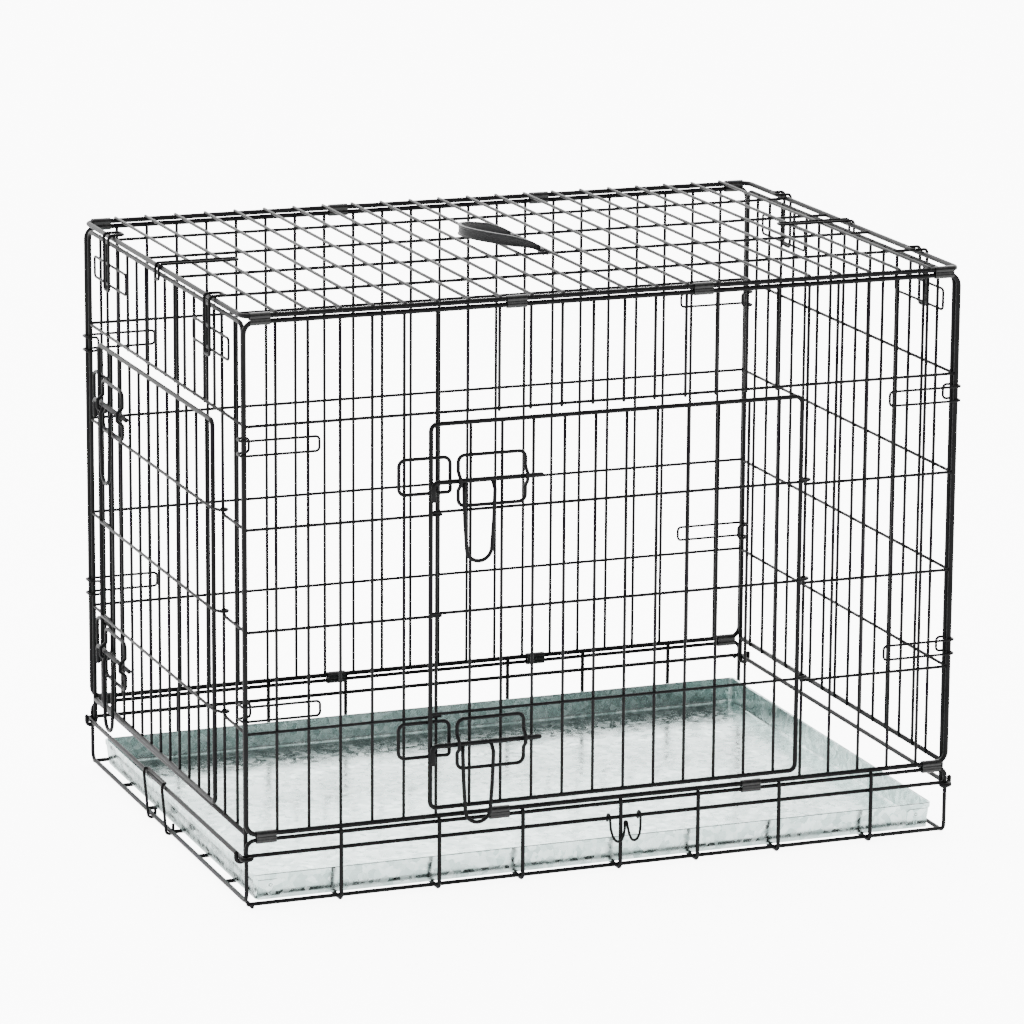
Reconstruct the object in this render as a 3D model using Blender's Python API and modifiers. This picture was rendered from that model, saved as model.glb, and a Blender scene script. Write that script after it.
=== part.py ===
"""A folding wire dog crate: a floor cage, four wire walls and a roof, two doors with slide bolts,
a steel pan, a pan stop, a fold lock hook and a strap handle. Metres, +Z up, front door facing -Y."""

import math

import bmesh
import bpy
from mathutils import Vector

# Driving dimensions.
LENGTH = 0.780
WIDTH = 0.550
ROD = 0.005
WIRE = 0.003
GAP = 0.0004

# Wall lattices.
LONG_PITCHES = 23
END_PITCHES = 16
WALL_BAYS = 5
WALL_BOTTOM = 0.078
WALL_TOP = 0.602
ROOF_Z = 0.6077
ROOF_BAYS = 5
HALF_LONG = (LENGTH - ROD) / 2
HALF_WIDE = (WIDTH - ROD) / 2
LONG_PITCH = 2 * HALF_LONG / LONG_PITCHES
BAY = (WALL_TOP - WALL_BOTTOM) / WALL_BAYS

# Floor cage.
CAGE_WIRE = 0.004
CAGE_Z = CAGE_WIRE / 2
CAGE_TOP = 0.072
CAGE_MID = 0.056
CAGE_UPRIGHTS = (-0.288, -0.1825, -0.0915, 0.0165, 0.103, 0.1945, 0.300)
STOP_COLUMN = 0.0065
CAGE_WIDE_BAYS = 6
STOP_ROD_Z = 0.008

# End walls, which stand just inside the long walls and turn on the hinge rods.
END_X = 0.386
END_HALF = 0.2655
END_TOP = 0.5995
END_PITCH = 2 * END_HALF / END_PITCHES
HINGE_X = END_X + 0.005
HINGE_Z = 0.054

# Doors: hinged on the right as seen from outside, latched on the left.
DOOR_PITCHES = 12
DOOR_LAP = 0.009
DOOR_HINGE_INSET = 0.009
DOOR_TOP = WALL_TOP - BAY - 0.010
DOOR_BOTTOM = 0.089
DOOR_RAIL_RISE = 0.005
FRONT_LATCH_WIRE = 6
END_LATCH_WIRE = 2
KEEPER_OUT = WIRE + 0.0003
DOOR_OUT = WIRE / 2 + 0.0003 + WIRE + 0.0003 + ROD / 2
GUIDE_OUT = DOOR_OUT + WIRE + 0.0012
BOLT_OUT = DOOR_OUT + ROD + GAP
GUIDE_BOW_OUT = BOLT_OUT + ROD / 2 + GAP + WIRE / 2

# Slide bolts.
BOLT_LENGTH = 0.118
BOLT_TIP_DROP = 0.020
BOLT_TIP_REACH = 0.0315
BOLT_LEVELS = (0.4285, 0.155)
LOOP_WIRE = 0.004
LOOP_WIDE = 0.0335
LOOP_DROP = 0.083
GUIDE_SIZE = (0.072, 0.052)
GUIDE_OFFSET = 0.0545
LOOP_INSET = 0.0045
KEEPER_SIZE = (0.0545, 0.036)
KEEPER_OFFSET = -0.0144
KEEPER_RAISE = 0.0055

# Fittings.
HOOK_WIRE = 0.0025
HOOK_LENGTH = 0.077
HOOK_TALL = 0.015
HOOK_TUCK = 0.013
CLIP_LONG = 0.0155
CLIP_SHEET = 0.0008
HAIRPIN_SPOTS = (-0.175, 0.175)
HAIRPIN_WIDE = 0.017
HAIRPIN_DROP = 0.056
LATCH_LOOP = (0.115, 0.022)
LATCH_LOOP_Z = 0.5675
LATCH_LOOP_OUT = 0.0038
ROOF_STOP_REACH = 0.3055
ROOF_STOP_END = 0.5955
LOCK_HOOK_X = 0.0215

# Pan.
PAN_LONG = 0.754
PAN_WIDE = 0.528
PAN_TALL = 0.028
PAN_SHEET = 0.001
PAN_Z = CAGE_WIRE + 0.0005

# Strap handle.
HANDLE_WIRE = 12
HANDLE_SPAN = 0.087
HANDLE_REACH = 0.072
HANDLE_RISE = 0.016
STRAP_WIDE = 0.010
STRAP_THICK = 0.003

BLACK = (0.012, 0.012, 0.013)
STEEL = (0.42, 0.45, 0.47)
PLASTIC = (0.02, 0.02, 0.022)


def clear_scene():
    for obj in list(bpy.data.objects):
        bpy.data.objects.remove(obj, do_unlink=True)


clear_scene()
crate = bpy.data.collections.new("wire_dog_crate")
guides = bpy.data.collections.new("guides")
bpy.context.scene.collection.children.link(crate)
bpy.context.scene.collection.children.link(guides)


def empty(name, location=(0, 0, 0), turn=0.0, parent=None):
    """A joint axis or a wall's own frame. In a wall's frame the wall faces -Y and +X runs to its right."""
    obj = bpy.data.objects.new(name, None)
    obj.empty_display_size = 0.03
    guides.objects.link(obj)
    obj.parent = parent
    obj.location = location
    obj.rotation_euler = (0, 0, turn)
    return obj


def finish(obj, parent, color, metallic=0.0, roughness=0.45):
    """Gives the piece a parent and a material of its own."""
    obj.parent = parent
    material = bpy.data.materials.new(obj.name)
    material.use_nodes = True
    shader = material.node_tree.nodes["Principled BSDF"]
    shader.inputs["Base Color"].default_value = (*color, 1)
    shader.inputs["Metallic"].default_value = metallic
    shader.inputs["Roughness"].default_value = roughness
    obj.data.materials.clear()
    obj.data.materials.append(material)
    return obj


def add_mesh(name, mesh):
    obj = bpy.data.objects.new(name, mesh)
    crate.objects.link(obj)
    return obj


def wire(name, points, thickness, closed=False, sides=1):
    """A bent wire through the points, as a welded mesh."""
    curve = bpy.data.curves.new(name, "CURVE")
    curve.dimensions = "3D"
    curve.bevel_depth = thickness / 2
    curve.bevel_resolution = sides
    curve.use_fill_caps = not closed
    spline = curve.splines.new("POLY")
    spline.points.add(len(points) - 1)
    for point, place in zip(spline.points, points):
        point.co = (*place, 1)
    spline.use_cyclic_u = closed
    source = bpy.data.objects.new(name, curve)
    crate.objects.link(source)
    graph = bpy.context.evaluated_depsgraph_get()
    mesh = bpy.data.meshes.new_from_object(source.evaluated_get(graph))
    bpy.data.objects.remove(source, do_unlink=True)
    weld = bmesh.new()
    weld.from_mesh(mesh)
    bmesh.ops.remove_doubles(weld, verts=weld.verts, dist=1e-6)
    bmesh.ops.recalc_face_normals(weld, faces=weld.faces)
    weld.to_mesh(mesh)
    weld.free()
    mesh.name = name
    return add_mesh(name, mesh)


def evaluated_mesh(obj):
    graph = bpy.context.evaluated_depsgraph_get()
    return bpy.data.meshes.new_from_object(obj.evaluated_get(graph))


def join(base, *others):
    """Unites the others with the base into one closed body."""
    for other in others:
        union = base.modifiers.new("union", "BOOLEAN")
        union.operation = "UNION"
        union.solver = "EXACT"
        union.object = other
        bpy.context.view_layer.update()
        mesh = evaluated_mesh(base)
        base.modifiers.clear()
        base.data = mesh
        bpy.data.objects.remove(other, do_unlink=True)
    return base


def arc(centre, radius, start, end, steps, plane):
    """Points on an arc, by degrees, with plane(a, b) placing the two in-plane coordinates."""
    points = []
    for step in range(steps + 1):
        angle = math.radians(start + (end - start) * step / steps)
        a = centre[0] + radius * math.cos(angle)
        b = centre[1] + radius * math.sin(angle)
        points.append(plane(a, b))
    return points


def rounded_box(centre, size, radius, steps, plane):
    """A closed rounded rectangle, anticlockwise from its upper right corner."""
    points = []
    for right, up, start in ((1, 1, 0), (-1, 1, 90), (-1, -1, 180), (1, -1, 270)):
        corner = (centre[0] + right * (size[0] / 2 - radius), centre[1] + up * (size[1] / 2 - radius))
        points += arc(corner, radius, start, start + 90, steps, plane)
    return points


def spaced(low, high, count):
    return [low + (high - low) * step / count for step in range(count + 1)]


def lattice(name, grid, rim, thickness=ROD, inner=WIRE, hole=None):
    """Round every edge of the grid a wire: rim(i, j) tells the thick ones. hole(i, j) drops a cell."""
    work = bmesh.new()
    rows = [[work.verts.new(place) for place in row] for row in grid]
    for i in range(len(rows) - 1):
        for j in range(len(rows[0]) - 1):
            if hole and hole(i, j):
                continue
            work.faces.new((rows[i][j], rows[i + 1][j], rows[i + 1][j + 1], rows[i][j + 1]))
    crossings = [(i, j) for i in range(len(rows)) for j in range(len(rows[0]))]
    thick = {rows[i][j].co.copy().freeze() for i, j in crossings if rim(i, j)}
    loose = [vert for vert in work.verts if not vert.link_faces]
    bmesh.ops.delete(work, geom=loose, context="VERTS")
    mesh = bpy.data.meshes.new(name)
    work.to_mesh(mesh)
    work.free()
    obj = add_mesh(name, mesh)
    group = obj.vertex_groups.new(name="wire")
    for vert in mesh.vertices:
        heavy = vert.co.copy().freeze() in thick
        group.add([vert.index], 1.0 if heavy else inner / thickness, "REPLACE")
    frame = obj.modifiers.new("wires", "WIREFRAME")
    frame.thickness = thickness
    frame.vertex_group = "wire"
    frame.use_even_offset = True
    frame.use_replace = True
    frame.use_boundary = True
    graph = bpy.context.evaluated_depsgraph_get()
    solid = bpy.data.meshes.new_from_object(obj.evaluated_get(graph))
    obj.modifiers.clear()
    obj.vertex_groups.clear()
    obj.data = solid
    return obj


def wall_grid(across, levels, out=0.0):
    return [[Vector((u, -out, z)) for z in levels] for u in across]


def wall(name, across, levels, out=0.0, hole=None):
    """An upright lattice in a wall's own frame, thick along its four sides."""
    last_i = len(across) - 1
    last_j = len(levels) - 1
    return lattice(name, wall_grid(across, levels, out),
                   lambda i, j: i in (0, last_i) or j in (0, last_j), hole=hole)


def doorway(first):
    """Tells the cells between the latch wire and the hinge wire, below the first rail."""
    return lambda i, j: first <= i < first + DOOR_PITCHES and j < WALL_BAYS - 1


# The frames that everything hangs from.
body = empty("crate_frame")
front = empty("front_frame", (0, -HALF_WIDE, 0), 0, body)
back = empty("back_frame", (0, HALF_WIDE, 0), math.pi, body)
left_hinge = empty("left_end_hinge", (-HINGE_X, 0, HINGE_Z), 0, body)
right_hinge = empty("right_end_hinge", (HINGE_X, 0, HINGE_Z), 0, body)
left = empty("left_frame", (HINGE_X - END_X, 0, -HINGE_Z), -math.pi / 2, left_hinge)
right = empty("right_frame", (END_X - HINGE_X, 0, -HINGE_Z), math.pi / 2, right_hinge)

long_wires = spaced(-HALF_LONG, HALF_LONG, LONG_PITCHES)
end_wires = spaced(-END_HALF, END_HALF, END_PITCHES)
rails = spaced(WALL_BOTTOM, WALL_TOP, WALL_BAYS)
end_rails = rails[:-1] + [END_TOP]


def build_walls():
    finish(wall("front_panel", long_wires, rails, hole=doorway(FRONT_LATCH_WIRE)), front, BLACK)
    finish(wall("back_panel", long_wires, rails), back, BLACK)
    roof_rows = spaced(-HALF_WIDE, HALF_WIDE, ROOF_BAYS)
    grid = [[Vector((x, y, ROOF_Z)) for y in roof_rows] for x in long_wires]
    roof = lattice("top_panel", grid, lambda i, j: i in (0, LONG_PITCHES) or j in (0, ROOF_BAYS))
    finish(roof, body, BLACK)


def hook_foot(name, u):
    """The end of an edge rod: down past the hinge rod, then out under it and up again."""
    out = HINGE_X - END_X
    points = [(u, 0, WALL_BOTTOM + 0.001), (u, 0, HINGE_Z)]
    points += arc((out, HINGE_Z), out, 180, 360, 8, lambda a, b: (u, -a, b))[1:]
    points.append((u, -2 * out, HINGE_Z + 0.006))
    return wire(name, points, 0.004)


def build_end(side, frame, hole=None):
    """An end wall with its two hooked feet, and the two loops that the hairpins close over."""
    panel = wall(f"{side}_end_panel", end_wires, end_rails, hole=hole)
    feet = [hook_foot(f"{side}_foot_{n}", u) for n, u in enumerate((-END_HALF, END_HALF))]
    finish(join(panel, *feet), frame, BLACK)
    for name, u in zip(("a", "b"), HAIRPIN_SPOTS):
        points = rounded_box((u, LATCH_LOOP_Z), LATCH_LOOP, 0.004, 1, lambda a, b: (a, -LATCH_LOOP_OUT, b))
        loop = wire(f"{side}_latch_loop_{name}", points, HOOK_WIRE, closed=True, sides=0)
        finish(loop, frame, BLACK)


def build_cage():
    """The floor grille with its two long walls. The left end rod is raised, to clear the pan stop."""
    xs = [-HALF_LONG, -HALF_LONG + STOP_COLUMN, *CAGE_UPRIGHTS, HALF_LONG]
    ys = spaced(-HALF_WIDE, HALF_WIDE, CAGE_WIDE_BAYS)
    profile = [(ys[0], CAGE_TOP), (ys[0], CAGE_MID)] + [(y, CAGE_Z) for y in ys]
    profile += [(ys[-1], CAGE_MID), (ys[-1], CAGE_TOP)]
    grid = []
    for number, x in enumerate(xs):
        lift = STOP_ROD_Z - CAGE_Z if number == 0 else 0
        grid.append([Vector((x, y, z + (lift if z == CAGE_Z else 0))) for y, z in profile])
    floor_rows = range(2, len(profile) - 3)
    rod = lattice("base_cage", grid, lambda i, j: True, thickness=CAGE_WIRE,
                  hole=lambda i, j: i == 0 and j not in floor_rows)
    finish(rod, body, BLACK)
    for side, sign in (("left", -1), ("right", 1)):
        reach = HALF_WIDE - ROD / 2 - 0.0003
        points = [(sign * HINGE_X, -reach, HINGE_Z), (sign * HINGE_X, reach, HINGE_Z)]
        finish(wire(f"{side}_hinge_rod", points, ROD), body, BLACK)


def tube_clip(name, place, tall, parent, turn=False):
    """A folded sheet clip: a flat-sided sleeve round two rods, or round one wire along Y."""
    half = ROD / 2 + GAP + CLIP_SHEET / 2
    size = (2 * half, tall + 2 * half)
    section = rounded_box((0, 0), size, 0.0016, 1, lambda a, b: (a, b))
    work = bmesh.new()
    ends = []
    for x in (-CLIP_LONG / 2, CLIP_LONG / 2):
        ends.append([work.verts.new((x, a, b)) for a, b in section])
    count = len(section)
    for k in range(count):
        after = (k + 1) % count
        work.faces.new((ends[0][k], ends[1][k], ends[1][after], ends[0][after]))
    bmesh.ops.recalc_face_normals(work, faces=work.faces)
    mesh = bpy.data.meshes.new(name)
    work.to_mesh(mesh)
    work.free()
    obj = add_mesh(name, mesh)
    sheet = obj.modifiers.new("sheet", "SOLIDIFY")
    sheet.thickness = CLIP_SHEET
    sheet.offset = 0
    finish(obj, parent, BLACK, 0.3)
    obj.location = place
    if turn:
        obj.rotation_euler = (0, 0, math.pi / 2)
    return obj


def build_clips():
    """Sheet clips tie each long wall to the cage below and the roof above, each in a cell of the wall
    or, below the door, anywhere along the rod."""
    rows = {
        "front_lower": (front, (0.12, 7.55, 15.85, 22), (CAGE_TOP, WALL_BOTTOM)),
        "front_upper": (front, (0, 8, 14, 22), (WALL_TOP, ROOF_Z)),
        "back_lower": (back, (0, 7, 14.1, 22), (CAGE_TOP, WALL_BOTTOM)),
        "back_upper": (back, (0, 7, 14, 22), (WALL_TOP, ROOF_Z)),
    }
    for name, (frame, cells, (low, high)) in rows.items():
        for number, cell in enumerate(cells, 1):
            place = (-HALF_LONG + (cell + 0.5) * LONG_PITCH, 0, (low + high) / 2)
            tube_clip(f"clip_{name}_{number}", place, high - low, frame)


def corner_hook(name, frame, side, level):
    """A long wire loop outside a long wall, bent round the corner so that it holds the end wall's rod."""
    out = ROD / 2 + GAP + HOOK_WIRE / 2
    corner = side * (HALF_LONG + ROD / 2 + GAP + HOOK_WIRE / 2)
    tuck = -(HALF_WIDE - END_HALF + ROD / 2 + 0.0010 + HOOK_WIRE / 2)
    bend = 0.004
    run = [(side * (HALF_LONG - HOOK_LENGTH), -out), (corner - side * bend, -out)]
    run += [(corner - side * 0.3 * bend, -out + 0.3 * bend), (corner, -out + bend), (corner, -tuck - bend)]
    run += [(corner - side * 0.3 * bend, -tuck - 0.3 * bend), (corner - side * bend, -tuck)]
    run.append((corner - side * HOOK_TUCK, -tuck))
    low = [(u, n, level - HOOK_TALL / 2) for u, n in run]
    high = [(u, n, level + HOOK_TALL / 2) for u, n in reversed(run)]
    return finish(wire(name, low + high, HOOK_WIRE, closed=True, sides=0), frame, BLACK)


def build_corner_hooks():
    levels = {"upper": rails[-2] - 0.021, "lower": rails[1] + 0.022}
    for wall_name, frame in (("front", front), ("back", back)):
        for side_name, side in (("left", -1), ("right", 1)):
            turned = side if wall_name == "front" else -side
            for level_name, level in levels.items():
                corner_hook(f"hook_{wall_name}_{side_name}_{level_name}", frame, turned, level)


def build_roof_stops():
    """Each keeps an end wall from falling outwards: a wire loop on the roof, bent down outside the wall."""
    for side, sign in (("left", -1), ("right", 1)):
        outer = sign * (HINGE_X + 0.0005)
        top = ROOF_Z + ROD / 2 + GAP + HOOK_WIRE / 2
        run = [(sign * ROOF_STOP_REACH, top), (outer - sign * 0.002, top), (outer, top - 0.002)]
        run.append((outer, ROOF_STOP_END))
        there = [(x, -0.006, z) for x, z in run]
        away = [(x, 0.006, z) for x, z in reversed(run)]
        hook = wire(f"roof_stop_{side}", there + away, HOOK_WIRE, closed=True, sides=0)
        finish(hook, body, BLACK)


def build_hairpins():
    for side, sign in (("left", -1), ("right", 1)):
        for name, spot in zip(("a", "b"), HAIRPIN_SPOTS):
            outer = sign * (END_X + 0.0078)
            y = spot if side == "right" else -spot
            slide = empty(f"{side}_hairpin_{name}_slide", (outer, y, ROOF_Z), 0, body)
            top = ROD / 2 + GAP + HOOK_WIRE / 2
            run = [(-sign * 0.017, top), (-sign * 0.002, top), (0, top - 0.002), (0, -HAIRPIN_DROP)]
            there = [(x, -HAIRPIN_WIDE / 2, z) for x, z in run]
            away = [(x, HAIRPIN_WIDE / 2, z) for x, z in reversed(run)]
            pin = wire(f"{side}_hairpin_{name}", there + away, HOOK_WIRE, closed=True, sides=0)
            finish(pin, slide, BLACK)


def door_leaf(name, latch_u, hinge_u, pitch):
    """The leaf with the curls that turn on the hinge wire. The origin is on the hinge wire."""
    left_u = latch_u - DOOR_LAP - hinge_u
    right_u = -DOOR_HINGE_INSET
    across = [left_u] + [latch_u - hinge_u + pitch * k for k in range(1, DOOR_PITCHES)] + [right_u]
    inner = [rail + DOOR_RAIL_RISE for rail in rails[1:-2]]
    leaf = wall(name, across, [DOOR_BOTTOM] + inner + [DOOR_TOP], out=DOOR_OUT)
    curls = []
    for number, level in enumerate(inner):
        radius = WIRE / 2 + 0.0009 + WIRE / 2
        ring = arc((0, 0), radius, 0, 330, 11, lambda a, b, z=level: (a, b, z))
        curl = wire(f"{name}_curl_{number}", ring, WIRE, closed=True, sides=0)
        stub_end = Vector((-radius * 0.86, -radius * 0.5, level))
        stub = wire(f"{name}_stub_{number}", [Vector((right_u, -DOOR_OUT, level)), stub_end], WIRE, sides=0)
        curls.append(join(curl, stub))
    return join(leaf, *curls)


def guide_ring(name, centre_u, level, hinge_u):
    """A ring on the door whose two upright sides bow out over the bolt."""
    width, height = GUIDE_SIZE
    points = []
    for side in (1, -1):
        u = centre_u + side * width / 2 - hinge_u
        steps = ((0.5, 0, 0.006), (0.36, 0, 0), (0.16, 0, 0), (0.075, 1, 0))
        column = [(u - side * inset, out, level + part * height) for part, out, inset in steps]
        column += [(u - side * inset, out, level - part * height) for part, out, inset in reversed(steps)]
        if side == -1:
            column.reverse()
        points += column
    places = [(u, -(GUIDE_BOW_OUT if bow else GUIDE_OUT), z) for u, bow, z in points]
    return wire(name, places, WIRE, closed=True, sides=0)


def slide_bolt(name):
    """A rod with its tip bent down and a finger loop under it, drawn from the loop's left leg."""
    tip = -BOLT_TIP_REACH
    end = tip + BOLT_LENGTH
    drop = [(tip + 0.002, 0, -BOLT_TIP_DROP), (tip, 0, -0.004)]
    drop += [(tip + 0.0015, 0, -0.001), (tip + 0.005, 0, 0)]
    rod = wire(name, drop + [(end, 0, 0)], ROD)
    out = -0.0031
    radius = LOOP_WIDE / 2
    points = [(0.002, out * 0.7, 0)]
    points += arc((radius, -LOOP_DROP + radius), radius - 0.001, 180, 360, 8, lambda a, b: (a, out, b))
    points.append((LOOP_WIDE - 0.002, out * 0.7, 0))
    return join(rod, wire(name + "_loop", points, LOOP_WIRE))


def build_door(side, frame, wires, latch_wire, pitch):
    """The leaf, its guide rings and bolts, and the keepers on the wall beside it."""
    latch_u = wires[latch_wire]
    hinge_u = wires[latch_wire + DOOR_PITCHES]
    hinge = empty(f"{side}_door_hinge", (hinge_u, 0, 0), 0, frame)
    finish(door_leaf(f"{side}_door", latch_u, hinge_u, pitch), hinge, BLACK)
    for name, level in zip(("upper", "lower"), BOLT_LEVELS):
        guide_u = latch_u + GUIDE_OFFSET
        ring = guide_ring(f"{side}_guide_{name}", guide_u, level, hinge_u)
        finish(ring, hinge, BLACK)
        middle = (latch_u + KEEPER_OFFSET, level + KEEPER_RAISE)
        keeper = rounded_box(middle, KEEPER_SIZE, 0.006, 2, lambda a, b: (a, -KEEPER_OUT, b))
        plate = wire(f"{side}_keeper_{name}", keeper, WIRE, closed=True, sides=0)
        finish(plate, frame, BLACK)
        leg_u = guide_u - GUIDE_SIZE[0] / 2 + LOOP_INSET - hinge_u
        slide = empty(f"{side}_bolt_{name}_slide", (leg_u, -BOLT_OUT, level), 0, hinge)
        finish(slide_bolt(f"{side}_bolt_{name}"), slide, BLACK)


def build_pan():
    """A shallow tray folded from one sheet, with slightly flared walls and rounded corners."""
    work = bmesh.new()
    rings = []
    for z, shrink in ((0.0, 0.003), (PAN_TALL, 0.0)):
        size = (PAN_LONG - 2 * shrink, PAN_WIDE - 2 * shrink)
        section = rounded_box((0, 0), size, 0.006, 2, lambda a, b: (a, b))
        rings.append([work.verts.new((a, b, z)) for a, b in section])
    count = len(rings[0])
    for k in range(count):
        after = (k + 1) % count
        work.faces.new((rings[0][k], rings[0][after], rings[1][after], rings[1][k]))
    work.faces.new(list(reversed(rings[0])))
    mesh = bpy.data.meshes.new("pan")
    work.to_mesh(mesh)
    work.free()
    pan = add_mesh("pan", mesh)
    sheet = pan.modifiers.new("sheet", "SOLIDIFY")
    sheet.thickness = PAN_SHEET
    sheet.offset = -1
    slide = empty("pan_slide", (0, 0, PAN_Z), 0, body)
    finish(pan, slide, STEEL, 1.0, 0.3)


def build_pan_stop():
    """A bent wire that turns on the raised end rod and lies over the hinge rod."""
    swing = empty("pan_stop_swing", (-HALF_LONG, 0.02, STOP_ROD_Z), 0, body)
    turn = CAGE_WIRE / 2 + 0.0005 + WIRE / 2
    over_x = HALF_LONG - HINGE_X
    over_z = HINGE_Z - STOP_ROD_Z + ROD / 2 + 0.0010 + WIRE / 2
    lean_x = over_x - ROD / 2 - 0.0006 - WIRE / 2
    leg = [(turn, 0.005)] + arc((0, 0), turn, 0, -180, 6, lambda a, b: (a, b))
    leg += [(lean_x, over_z - 0.006), (lean_x + 0.0015, over_z - 0.0015), (over_x, over_z)]
    near = [(x, -0.032, z) for x, z in leg]
    far = [(x, 0.032, z) for x, z in reversed(leg)]
    finish(wire("pan_stop", near + far, WIRE, sides=1), swing, BLACK)


def build_lock_hook():
    """Twin wire loops that hang on the cage's middle rod and tie the folded crate shut."""
    swing = empty("lock_hook_swing", (LOCK_HOOK_X, -HALF_WIDE, CAGE_MID), 0, body)
    turn = CAGE_WIRE / 2 + 0.0005 + HOOK_WIRE / 2
    half = 0.017
    hang = arc((0, 0), turn, 0, 180, 6, lambda a, b: (a, b))
    points = [(-half, y, z) for y, z in [(turn, -0.003)] + hang]
    points += [(-half + 0.002 + 0.0055 * (1 - math.cos(t)), -turn, -0.019 - 0.006 * math.sin(t))
               for t in (0, math.pi / 3, 2 * math.pi / 3, math.pi)]
    points.append((0, -turn, -0.006))
    right_side = [(-x, y, z) for x, y, z in reversed(points[:-1])]
    finish(wire("lock_hook", points + right_side, HOOK_WIRE, sides=1), swing, BLACK)


def build_handle():
    """A flat plastic strap, bowed between two clips that turn on one roof wire."""
    x = long_wires[HANDLE_WIRE]
    swing = empty("handle_swing", (x, 0, ROOF_Z), 0, body)
    work = bmesh.new()
    rows = []
    steps = 14
    for step in range(steps + 1):
        angle = math.pi * step / steps
        bow = max(math.sin(angle), 0.0)
        reach = 0.0033 + HANDLE_REACH * bow ** 0.8
        y = -HANDLE_SPAN / 2 * math.cos(angle)
        z = -0.002 + HANDLE_RISE * bow ** 0.5
        rows.append([work.verts.new((-reach, y, z + part * STRAP_WIDE)) for part in (0, 1)])
    for low, high in zip(rows, rows[1:]):
        work.faces.new((low[0], high[0], high[1], low[1]))
    mesh = bpy.data.meshes.new("handle_strap")
    work.to_mesh(mesh)
    work.free()
    strap = add_mesh("handle_strap", mesh)
    sheet = strap.modifiers.new("sheet", "SOLIDIFY")
    sheet.thickness = STRAP_THICK
    sheet.offset = 0
    sheet.use_even_offset = True
    strap.data = evaluated_mesh(strap)
    strap.modifiers.clear()
    clips = []
    for number, y in enumerate((-HANDLE_SPAN / 2, HANDLE_SPAN / 2)):
        clip = tube_clip(f"handle_clip_{number}", (0, y, 0), 0, None, turn=True)
        bpy.context.view_layer.update()
        clip.data = evaluated_mesh(clip)
        clip.modifiers.clear()
        clips.append(clip)
    finish(join(strap, *clips), swing, PLASTIC, roughness=0.5)


def centre_on_floor():
    """Moves the crate so that the origin is at the middle of its underside."""
    bpy.context.view_layer.update()
    graph = bpy.context.evaluated_depsgraph_get()
    corners = []
    for obj in crate.objects:
        corners += [obj.matrix_world @ Vector(corner) for corner in obj.evaluated_get(graph).bound_box]
    low = [min(corner[axis] for corner in corners) for axis in range(3)]
    high = [max(corner[axis] for corner in corners) for axis in range(3)]
    body.location = (-(low[0] + high[0]) / 2, -(low[1] + high[1]) / 2, -low[2])
    bpy.context.view_layer.update()


build_walls()
build_cage()
build_end("left", left, hole=doorway(END_LATCH_WIRE))
build_end("right", right)
build_clips()
build_corner_hooks()
build_roof_stops()
build_hairpins()
build_door("front", front, long_wires, FRONT_LATCH_WIRE, LONG_PITCH)
build_door("end", left, end_wires, END_LATCH_WIRE, END_PITCH)
build_pan()
build_pan_stop()
build_lock_hook()
build_handle()
centre_on_floor()
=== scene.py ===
# %% [markdown]
# # A folding wire dog crate
# The real crate is welded from mild steel wire, dipped in black coat, and folds flat onto its
# floor cage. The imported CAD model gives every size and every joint. Here each piece is made
# again with the detail that the CAD leaves out: bent corners, wires that lie over and under each
# other, weld nuggets, curls, hems and a surface finish. The first step loads that frame and
# keeps its box, because the looks may not grow past it.

# %% Load the frame
import math

import bmesh
import bpy
from mathutils import Matrix, Vector


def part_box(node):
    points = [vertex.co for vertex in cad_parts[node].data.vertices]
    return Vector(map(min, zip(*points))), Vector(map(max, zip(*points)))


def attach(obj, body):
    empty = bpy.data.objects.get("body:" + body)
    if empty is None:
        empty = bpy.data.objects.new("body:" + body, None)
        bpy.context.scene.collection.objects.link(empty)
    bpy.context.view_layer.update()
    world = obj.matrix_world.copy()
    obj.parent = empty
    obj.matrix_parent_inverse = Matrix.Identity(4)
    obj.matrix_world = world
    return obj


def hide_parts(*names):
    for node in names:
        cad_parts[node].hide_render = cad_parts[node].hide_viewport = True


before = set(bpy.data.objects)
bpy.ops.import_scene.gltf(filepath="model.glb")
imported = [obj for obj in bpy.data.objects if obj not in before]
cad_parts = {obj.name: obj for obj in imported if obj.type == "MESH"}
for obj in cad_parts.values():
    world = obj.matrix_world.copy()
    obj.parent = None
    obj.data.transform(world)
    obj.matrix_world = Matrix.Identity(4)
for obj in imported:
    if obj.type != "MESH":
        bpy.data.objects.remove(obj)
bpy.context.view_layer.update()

# %% [markdown]
# Positions come from the frame. The roof's box is centred on the crate, so its middle is the
# origin that every measure below counts from. The rest are the sizes a wire bender works to:
# the gauges of wire, the pitch of the mesh, and the height of each rail.

# %% Measure the frame
def box_middle(node):
    low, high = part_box(node)
    return (low + high) / 2


roof_middle = box_middle("top_panel")
CENTRE = Vector((roof_middle.x, roof_middle.y, 0))
ROD = 0.005
WIRE = 0.003
CAGE_WIRE = 0.004
HOOK_WIRE = 0.0025
HALF_LONG = (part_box("top_panel")[1].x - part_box("top_panel")[0].x - ROD) / 2
HALF_WIDE = (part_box("top_panel")[1].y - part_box("top_panel")[0].y - ROD) / 2
ROOF_Z = roof_middle.z
WALL_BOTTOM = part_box("back_panel")[0].z + ROD / 2
WALL_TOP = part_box("back_panel")[1].z - ROD / 2
print("half length", round(HALF_LONG, 4), "half width", round(HALF_WIDE, 4), "roof", round(ROOF_Z, 4))

# %% [markdown]
# The mesh of the walls has an even pitch, so its wires and rails are counted off between two
# ends. Uprights and rails lie in two layers: UPRIGHT_IN and RAIL_IN say how far each layer lies
# inwards of the wall's rods. COAT is added to every wire's gauge, for the film and because
# drawn wire may run a little full. CLEAR is the room left between two wires that slide on
# each other.

# %% The mesh of the walls
def spaced(low, high, count):
    return [low + (high - low) * step / count for step in range(count + 1)]


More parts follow.
